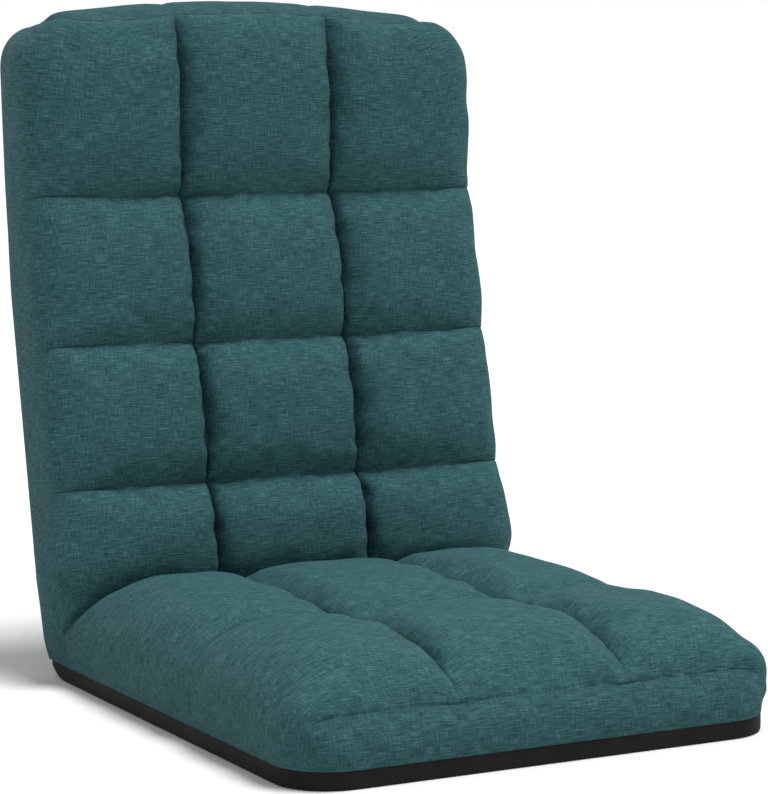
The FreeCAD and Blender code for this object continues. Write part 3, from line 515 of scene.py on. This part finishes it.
# Front boxing
# A plain band of the same weave from the seat's front seam down to the base cloth. The quilted cover
# wraps the two front corners, and the band is sewn between them.
def banded(top, low, end, bulge, swell):
    """Places down a band from its top line to its low line, with its two ends as given."""
    rows = len(end)
    end_share = np.linspace(0, 1, rows)[:, None]
    end_swell = end - (end[0] + end_share * (end[-1] - end[0]))
    grid = []
    for number, (a, b, way, size) in enumerate(zip(top, low, bulge, swell)):
        wide = abs(2 * number / (len(top) - 1) - 1)
        to_end = float(smooth((wide - 0.9) / 0.1))
        share = crowded(rows - 1, 0.5)[:, None]
        share[1] = SEAM_ALLOWANCE / np.linalg.norm(b - a)
        share = (1 - to_end) * share + to_end * end_share
        side = -1 if number < len(top) / 2 else 1
        line = a + share * (b - a)
        line = line + (1 - to_end) * size * np.sin(np.pi * share) ** 0.6 * way
        grid.append(line + to_end * end_swell * [-side, 1, 1])
    return np.array(grid).transpose(1, 0, 2)


FRONT_GAP = 0.0005
FRONT_BULGE = 0.0075
front_top = seat_lines[-1][EDGE:WIDE - EDGE]
front_shares = front_top[:, 0] / front_top[-1, 0]
corner_turn = math.asin((FRONT_SEAM - BASE_FRONT + BASE_CORNER) / BASE_CORNER)
straight = BASE_HALF - BASE_CORNER
bend = BASE_CORNER * (math.pi / 2 - corner_turn)
front_low, front_way = [], []
for share in front_shares:
    run = abs(share) * (straight + bend)
    round_corner = max(run - straight, 0) / BASE_CORNER
    x = min(run, straight) + BASE_CORNER * math.sin(round_corner)
    d = BASE_FRONT - BASE_CORNER * (1 - math.cos(round_corner)) + FRONT_GAP
    front_low.append(on_seat(math.copysign(x, share), d if abs(share) < 1 else FRONT_SEAM, SEAT_LOW))
    front_way.append([math.copysign(math.sin(round_corner), share), -math.cos(round_corner), 0])
front_low[0], front_low[-1] = seat_lines[-1][0], seat_lines[-1][-1]
front_grid = banded(front_top, np.array(front_low), seat_lines[-1][EDGE::-1], np.array(front_way),
                    np.full(len(front_shares), FRONT_BULGE))
front_u = run_of(front_top)
front_v = -run_of(front_grid[:, len(front_shares) // 2])
front_marks = np.stack(np.meshgrid(front_u - front_u.mean(), front_v), -1)
front_held = np.zeros(front_grid.shape[:2])
front_held[[0, -1]] = 1
front_held[:, [0, -1]] = 1
front_boxing = sewn("front_boxing", [(front_grid, front_marks, front_held, True)])
swollen(front_boxing, 0.002)
subdivided(front_boxing)
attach(front_boxing, "seat")
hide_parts("seat_front_boxing")


# Top boxing
# The band over the head's arched top, from the quilted cover's top seam back to the rear cover's seam.
top_front = back_lines[-1][EDGE:WIDE - EDGE]
shares = top_front[:, 0] / top_front[-1, 0]
REAR_SEAM = 0.655
TOP_BULGE = 0.0130
rear_half = back_lines[-1][-1][0]
rear_end_d = HEAD_CORNER_D + HEAD_CORNER_TALL
rear_seam_d = REAR_SEAM - (REAR_SEAM - rear_end_d) * abs(shares) ** ARCH_POWER
rear_seam_line = on_back(shares * rear_half, rear_seam_d, BACK_LOW)
rear_seam_line[0], rear_seam_line[-1] = back_lines[-1][0], back_lines[-1][-1]
head_lean = LEAN - HEAD_TILT
top_way = np.tile([0, math.sin(head_lean), math.cos(head_lean)], (len(shares), 1))
top_swell = TOP_BULGE * (1 - 0.3 * abs(shares) ** 8)
top_grid = banded(top_front, rear_seam_line, back_lines[-1][EDGE::-1], top_way, top_swell)
top_u = run_of(top_front)
top_marks = np.stack(np.meshgrid(top_u - top_u.mean(), run_of(top_grid[:, len(shares) // 2])), -1)
top_held = np.zeros(top_grid.shape[:2])
top_held[[0, -1]] = 1
top_held[:, [0, -1]] = 1
top_boxing = sewn("top_boxing", [(top_grid, top_marks, top_held, False)])
swollen(top_boxing, 0.0015)
subdivided(top_boxing)
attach(top_boxing, "back")
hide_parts("back_top_boxing")


# Rear cover
# The plain back of the chair in the same weave, from the head's rear seam down round the hinge to the
# base cloth, pulled smooth over the foam.
REAR_BULGE = 0.0055
REAR_DRIFT = 0.0014
rear_edges = np.concatenate([arc_outline[:-1], back_lines[:, 0]])
rear_lean = np.concatenate([np.zeros(FAN_ARC_STEPS), np.interp(back_d, along, lean_along)])
rear_run = run_of(rear_edges)
rear_grid = []
for number, (edge, lean) in enumerate(zip(rear_edges, rear_lean)):
    round_hinge = number < FAN_ARC_STEPS
    way = np.array([0, math.cos(arc_turn[number]), math.sin(arc_turn[number])] if round_hinge
                   else [0, math.cos(lean), -math.sin(lean)])
    up_back = np.array([0, math.sin(lean), math.cos(lean)])
    to_top = smooth((back_d[max(number - FAN_ARC_STEPS, 0)] - NECK) / (TOP_SEAM - NECK))
    from_top = min(1, (rear_run[-1] - rear_run[number]) / 0.02) ** 0.5
    bulge = REAR_BULGE * from_top * min(1, 0.2 + number / FAN_ARC_STEPS)
    level = np.stack([-shares * edge[0], np.full(len(shares), edge[1]), np.full(len(shares), edge[2])], -1)
    inside = (1 - abs(shares) ** 6)[:, None]
    arch = (1 - abs(shares) ** ARCH_POWER)[:, None] * (REAR_SEAM - rear_end_d) * to_top
    rear_grid.append(level + bulge * inside ** 0.6 * way + arch * up_back)
rear_grid = np.array(rear_grid)
rear_grid[-1] = rear_seam_line
for i, v in enumerate(rear_run):
    for j, share in enumerate(shares):
        inside = min(1, (1 - abs(share)) / 0.12) * min(1, (rear_run[-1] - v) / 0.03) * min(1, v / 0.03)
        x = share * BACK_EDGE_HALF
        drift = noise.noise((x / 0.09, v / 0.06, 77.0)) + 0.4 * noise.noise((x / 0.03, v / 0.05, 7.0))
        rear_grid[i, j, 1] += REAR_DRIFT * inside * drift
rear_marks = np.stack(np.meshgrid(shares * BACK_EDGE_HALF, rear_run), -1)
rear_held = np.zeros(rear_grid.shape[:2])
rear_held[[0, -1]] = 1
rear_held[:, [0, -1]] = 1
rear_cover = sewn("rear_cover", [(rear_grid, rear_marks, rear_held, True)])
swollen(rear_cover, 0.003)
subdivided(rear_cover)
bends_at_hinge(rear_cover)
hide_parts("back_rear_panel", "hinge_roll_pad")


# Base cloth
# Black non-woven cloth stretched under the seat. It shows as a low band round the sides and front, and
# runs back in a short tail round the hinge, where the green cover is sewn to it.
BAND_H = PIN_Z + SEAT_LOW
SIDE_POINTS, CORNER_POINTS, FRONT_POINTS, REAR_POINTS = 40, 10, 30, 30
FLAT_INSET = 0.054
FIRST_FLAT_RING = 8
WAVE = 0.0012


def base_outline(inset):
    """The base's outline drawn in by inset: rear edge, left side, left corner, front, and back again."""
    half, rear, front = BASE_HALF - inset, PIN_Y + tail_y - inset, PIN_Y - BASE_FRONT + inset
    r = max(BASE_CORNER - inset, 0.001)
    turns = np.linspace(0, math.pi / 2, CORNER_POINTS + 1)[:-1]
    x_side = np.full(SIDE_POINTS, half)
    y_side = np.linspace(rear, front + r, SIDE_POINTS + 1)[:-1]
    corner_x, corner_y = half - r + r * np.cos(turns), front + r - r * np.sin(turns)
    x_front = np.linspace(half - r, r - half, FRONT_POINTS + 1)[:-1]
    right = np.stack([np.concatenate([x_side, corner_x]), np.concatenate([y_side, corner_y])], -1)
    middle = np.stack([x_front, np.full(FRONT_POINTS, front)], -1)
    left = np.concatenate([[[r - half, front]], right[:0:-1] * [-1, 1]])
    x_rear = np.linspace(-half, half, REAR_POINTS + 1)
    return np.concatenate([right, middle, left, np.stack([x_rear, np.full(REAR_POINTS + 1, rear)], -1)])


rings = []
for inset, rise in ((0, BAND_H), (0, 0.0115), (0, 0.0045), (0.0001, 0.0018), (0.0006, 0.0005), (0.0018, 0),
                    (0.0055, 0), (0.012, 0), (0.025, 0), (0.045, 0), (FLAT_INSET, 0)):
    flat = base_outline(inset)
    past = np.clip(flat[:, 1] - PIN_Y, 0, None)
    floor_z = PIN_Z - np.sqrt(TAIL_R ** 2 - past ** 2)
    rings.append(np.column_stack([flat, np.minimum(BAND_H, floor_z + rise)]))
centre = np.array([0, PIN_Y - BASE_FRONT / 2])
for share in (0.82, 0.64, 0.46, 0.28, 0.12, 0.0):
    flat = centre + share * (base_outline(FLAT_INSET) - centre)
    past = np.clip(flat[:, 1] - PIN_Y, 0, None)
    rings.append(np.column_stack([flat, PIN_Z - np.sqrt(TAIL_R ** 2 - past ** 2)]))
rings = np.array(rings)
for ring in rings[FIRST_FLAT_RING:]:
    for spot in ring:
        if spot[1] < PIN_Y:
            spot[2] += WAVE * max(0, noise.noise((spot[0] / 0.05, spot[1] / 0.12, 4.0)))
base_cloth = sewn("base_cloth", [(rings, rings[..., :2], np.zeros(rings.shape[:2]), True)])
subdivided(base_cloth)
bends_at_hinge(base_cloth)
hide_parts("seat_base_cloth")


# Catch springs
# The flat steel spring under each catch, copied from the frame's spring and left where it stands. On the
# chair it is held on its pin and bends where the catch presses on it; the copy is not bent.
for side, sign in (("left", -1), ("right", 1)):
    spring_mesh = frame["nodes"][side + "_pawl_spring"].data.copy()
    spring = bpy.data.objects.new(side + "_catch_spring", spring_mesh)
    bpy.context.scene.collection.objects.link(spring)
    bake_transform(spring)
    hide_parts(side + "_pawl_spring")


# Linen weave
# Melange yarn with thick slubs that run mostly across: darker and lighter threads, the small checks of
# a plain weave with painted shade in the gaps between threads, and a faint fuzz. Its places are in metres
# of cloth. The plain pieces are painted darker all over: painted shade, set for the front band in shade
# under the seat.
def node(tree, kind, inputs=None, **settings):
    """A new shader node with its settings, values and links."""
    made = tree.nodes.new("ShaderNode" + kind)
    for name, value in settings.items():
        setattr(made, name, value)
    for socket, value in (inputs or {}).items():
        if isinstance(value, bpy.types.NodeSocket):
            tree.links.new(value, made.inputs[socket])
        else:
            made.inputs[socket].default_value = value
    return made


def math_node(tree, operation, *values):
    return node(tree, "Math", dict(enumerate(values)), operation=operation).outputs[0]


def ramp(tree, value, stops):
    """Colours between stops of (place, colour)."""
    made = node(tree, "ValToRGB", {0: value})
    points = made.color_ramp.elements
    while len(points) < len(stops):
        points.new(0.5)
    for point, (place, colour) in zip(points, stops):
        point.position = place
        point.color = (*colour, 1)
    return made.outputs[0]


def streaks(tree, place, scale, detail):
    """Noise drawn out along one direction of the cloth."""
    stretched = node(tree, "Mapping", {"Vector": place, "Scale": (*scale, 1)}).outputs[0]
    return node(tree, "TexNoise", {"Vector": stretched, "Scale": 1, "Detail": detail, "Roughness": 0.6},
                noise_dimensions="2D").outputs[0]


def group(name, *outputs):
    """A node group that gives out the named colours and values."""
    tree = bpy.data.node_groups.new(name, "ShaderNodeTree")
    for output, kind in outputs:
        tree.interface.new_socket(name=output, in_out="OUTPUT", socket_type="NodeSocket" + kind)
    return tree


THREAD = 0.0011
linen = group("linen_weave", ("Color", "Color"), ("Roughness", "Float"), ("Height", "Float"))
# A factor on the whole colour: below 1 it darkens a piece as painted shade.
linen.interface.new_socket(name="Shade", in_out="INPUT", socket_type="NodeSocketFloat")
painted_shade = linen.nodes.new("NodeGroupInput").outputs["Shade"]
cloth_place = node(linen, "UVMap", uv_map="weave").outputs[0]
weft = streaks(linen, cloth_place, (60, 900), 2)
warp = streaks(linen, cloth_place, (900, 85), 2)
patches = streaks(linen, cloth_place, (26, 34), 3)
mixed = math_node(linen, "MULTIPLY_ADD", weft, 0.54, math_node(linen, "MULTIPLY", warp, 0.38))
mixed = math_node(linen, "MULTIPLY_ADD", patches, 0.08, mixed)
yarn = ramp(linen, mixed, ((0.34, (0.0155, 0.050, 0.056)), (0.46, (0.027, 0.083, 0.090)),
                           (0.54, (0.035, 0.102, 0.109)), (0.70, (0.074, 0.178, 0.185))))
split = node(linen, "SeparateXYZ", {0: cloth_place})
# The checks darken the colour in the gaps between threads and lighten it over their crowns: painted shade
# and light on the weave's relief, which the bump also draws.
over = math_node(linen, "SINE", math_node(linen, "MULTIPLY", split.outputs[0], math.tau / THREAD))
under = math_node(linen, "SINE", math_node(linen, "MULTIPLY", split.outputs[1], math.tau / THREAD))
checks = math_node(linen, "MULTIPLY_ADD", math_node(linen, "MULTIPLY", over, under), 0.5, 0.5)
painted_weave_and_piece_shade = math_node(linen, "MULTIPLY", math_node(linen, "MULTIPLY_ADD", checks, 0.3, 0.82), painted_shade)
painted_weave_and_piece_shades = node(linen, "CombineXYZ", {0: painted_weave_and_piece_shade, 1: painted_weave_and_piece_shade, 2: painted_weave_and_piece_shade}).outputs[0]
shaded = node(linen, "VectorMath", {0: yarn, 1: painted_weave_and_piece_shades}, operation="MULTIPLY").outputs[0]
height = math_node(linen, "MULTIPLY_ADD", checks, 0.35, mixed)
linen_out = linen.nodes.new("NodeGroupOutput")
linen.links.new(shaded, linen_out.inputs["Color"])
linen.links.new(math_node(linen, "MULTIPLY_ADD", mixed, -0.3, 0.98), linen_out.inputs["Roughness"])
linen.links.new(height, linen_out.inputs["Height"])


def material(name, surface, strength, distance, painted_shade=None, **constants):
    """A material whose colour, roughness and bump come from a node group."""
    made = bpy.data.materials.new(name)
    made.use_nodes = True
    tree = made.node_tree
    shader = tree.nodes["Principled BSDF"]
    source = node(tree, "Group", node_tree=surface)
    if painted_shade is not None:
        source.inputs["Shade"].default_value = painted_shade
    for socket in ("Base Color", "Roughness"):
        tree.links.new(source.outputs[socket.split()[-1]], shader.inputs[socket])
    bump = node(tree, "Bump", {"Height": source.outputs["Height"], "Strength": strength,
                               "Distance": distance})
    tree.links.new(bump.outputs[0], shader.inputs["Normal"])
    for socket, value in constants.items():
        shader.inputs[socket.replace("_", " ")].default_value = value
    return made


WEAVE_STRENGTH, WEAVE_DEPTH = 0.6, 0.0006
# The plain pieces' colour is scaled by 0.88 as painted shade, set for the front band in shade under the
# seat; the quilt keeps its colour.
QUILT_PAINTED_SHADE, PLAIN_PAINTED_SHADE = 1.0, 0.88
fuzz = {"Sheen_Weight": 0.02, "Sheen_Roughness": 0.5, "Specular_IOR_Level": 0.06}
quilt_material = material("quilt_cloth", linen, WEAVE_STRENGTH, WEAVE_DEPTH, QUILT_PAINTED_SHADE, **fuzz)
plain_material = material("plain_cloth", linen, WEAVE_STRENGTH, WEAVE_DEPTH, PLAIN_PAINTED_SHADE, **fuzz)
quilted_cover.data.materials.append(quilt_material)
for piece in (front_boxing, top_boxing, rear_cover):
    piece.data.materials.append(plain_material)


# Non-woven base cloth
# Spun black fibres pressed together with rows of small dimples, slightly brown and almost matt.
felt = group("non_woven", ("Color", "Color"), ("Roughness", "Float"), ("Height", "Float"))
felt_place = node(felt, "TexCoord").outputs["Object"]
dimples = node(felt, "TexVoronoi", {"Vector": felt_place, "Scale": 520,
                                    "Randomness": 0.25}).outputs["Distance"]
fibres = node(felt, "TexNoise", {"Vector": felt_place, "Scale": 900, "Detail": 4}).outputs[0]
clouds = node(felt, "TexNoise", {"Vector": felt_place, "Scale": 18, "Detail": 3}).outputs[0]
tone = math_node(felt, "MULTIPLY_ADD", fibres, 0.6, math_node(felt, "MULTIPLY", clouds, 0.4))
felt_out = felt.nodes.new("NodeGroupOutput")
black = ramp(felt, tone, ((0.3, (0.004, 0.0032, 0.0036)), (0.7, (0.013, 0.0105, 0.0115))))
felt.links.new(black, felt_out.inputs["Color"])
felt.links.new(math_node(felt, "MULTIPLY_ADD", fibres, 0.25, 0.65), felt_out.inputs["Roughness"])
felt.links.new(math_node(felt, "MULTIPLY_ADD", dimples, 1.2, fibres), felt_out.inputs["Height"])
base_cloth.data.materials.append(material("base_cloth", felt, 0.5, 0.0004, Specular_IOR_Level=0.15))


# Foam, webbing and steel inside
# The slabs are cream open-cell foam, the straps ribbed black webbing, the tubes satin black powder
# coat, the hinge plates and rivets bright zinc, and the catch springs blued spring steel.
def inner(name, scale, detail, dark, light, rough_low, rough_high, metallic, strength, distance,
          stretch=(1, 1, 1)):
    """A material with fine grain in its colour, roughness and bump."""
    grain = group(name + "_grain", ("Color", "Color"), ("Roughness", "Float"), ("Height", "Float"))
    solid_place = node(grain, "TexCoord").outputs["Object"]
    drawn_out = node(grain, "Mapping", {"Vector": solid_place, "Scale": stretch}).outputs[0]
    fine = node(grain, "TexNoise", {"Vector": drawn_out, "Scale": scale, "Detail": detail,
                                    "Roughness": 0.65}).outputs[0]
    out = grain.nodes.new("NodeGroupOutput")
    grain.links.new(ramp(grain, fine, ((0.35, dark), (0.65, light))), out.inputs["Color"])
    rough = math_node(grain, "MULTIPLY_ADD", fine, rough_high - rough_low, rough_low)
    grain.links.new(rough, out.inputs["Roughness"])
    grain.links.new(fine, out.inputs["Height"])
    return material(name, grain, strength, distance, Metallic=metallic)


inner_materials = {
    "foam": inner("foam", 700, 3, (0.55, 0.47, 0.28), (0.82, 0.76, 0.55), 0.85, 1, 0, 0.8, 0.0008),
    "webbing": inner("webbing", 900, 2, (0.004, 0.004, 0.005), (0.016, 0.016, 0.019), 0.6, 0.9, 0,
                     0.6, 0.0005, (1, 0.08, 1)),
    "frame_paint": inner("frame_paint", 1500, 2, (0.0035, 0.0035, 0.004), (0.0055, 0.0055, 0.006),
                         0.35, 0.5, 0, 0.25, 0.0002),
    "hinge_steel": inner("hinge_steel", 260, 5, (0.38, 0.39, 0.41), (0.60, 0.61, 0.63), 0.25, 0.5, 1,
                         0.12, 0.0002),
    "spring_steel": inner("spring_steel", 420, 4, (0.06, 0.075, 0.11), (0.13, 0.14, 0.18), 0.25, 0.4, 1,
                          0.1, 0.0001),
}
for part in frame["record"]["subparts"]:
    if part["material_slot"] in inner_materials:
        materials = frame["nodes"][part["node"]].data.materials
        materials.clear()
        materials.append(inner_materials[part["material_slot"]])
for side in ("left", "right"):
    materials = bpy.data.objects[side + "_catch_spring"].data.materials
    materials.clear()
    materials.append(inner_materials["spring_steel"])


# Camera
# Where the photograph was taken from: low, from the sitter's right front, with a long lens.
camera_data = bpy.data.cameras.new("camera")
camera = bpy.data.objects.new("camera", camera_data)
bpy.context.scene.collection.objects.link(camera)
camera_data.lens = 124.61
yaw, pitch, roll = math.radians(27.095), math.radians(5.585), math.radians(-0.663)
forward = Vector((math.sin(yaw) * math.cos(pitch), math.cos(yaw) * math.cos(pitch), -math.sin(pitch)))
right = Vector((math.cos(yaw), -math.sin(yaw), 0))
up = right.cross(forward)
right_rolled = right * math.cos(roll) + up * math.sin(roll)
up_rolled = up * math.cos(roll) - right * math.sin(roll)
facing = Matrix((right_rolled, up_rolled, -forward)).transposed()
camera.matrix_world = Matrix.Translation((-1.2305, -2.3685, 0.5670)) @ facing.to_4x4()
bpy.context.scene.camera = camera


# Floor, lamps and world
# A plain pale floor, a soft lamp high on the right in front, and even light from all round.
FLOOR_HALF, FLOOR_Z = 30, -0.0003
floor_mesh = bpy.data.meshes.new("floor")
floor_corners = [(x * FLOOR_HALF, y * FLOOR_HALF, FLOOR_Z) for x, y in ((-1, -1), (1, -1), (1, 1), (-1, 1))]
floor_mesh.from_pydata(floor_corners, [], [(0, 1, 2, 3)])
floor = bpy.data.objects.new("floor", floor_mesh)
bpy.context.scene.collection.objects.link(floor)
pale = bpy.data.materials.new("floor")
pale.use_nodes = True
matt = pale.node_tree.nodes["Principled BSDF"].inputs
matt["Base Color"].default_value = (0.78, 0.78, 0.78, 1)
matt["Roughness"].default_value = 0.9
matt["Specular IOR Level"].default_value = 0.1
floor_mesh.materials.append(pale)

key_data = bpy.data.lights.new("key", "SUN")
key_data.energy = 3.05
key_data.angle = math.radians(24)
key = bpy.data.objects.new("key", key_data)
key.rotation_euler = Vector((0.22, -0.20, 0.95)).to_track_quat("Z", "Y").to_euler()
bpy.context.scene.collection.objects.link(key)

world = bpy.data.worlds.new("world")
world.use_nodes = True
SKY_SEEN, SKY_LIGHT = 1.0, 0.535
sky = world.node_tree
background = sky.nodes["Background"]
rays = node(sky, "LightPath")
seen = math_node(sky, "MAXIMUM", rays.outputs["Is Camera Ray"], rays.outputs["Is Glossy Ray"])
seen = math_node(sky, "MAXIMUM", seen, rays.outputs["Is Transmission Ray"])
strength = math_node(sky, "MULTIPLY_ADD", seen, SKY_SEEN - SKY_LIGHT, SKY_LIGHT)
sky.links.new(strength, background.inputs["Strength"])
background.inputs["Color"].default_value = (1, 1, 1, 1)
bpy.context.scene.world = world
bpy.context.scene.view_settings.view_transform = "Standard"
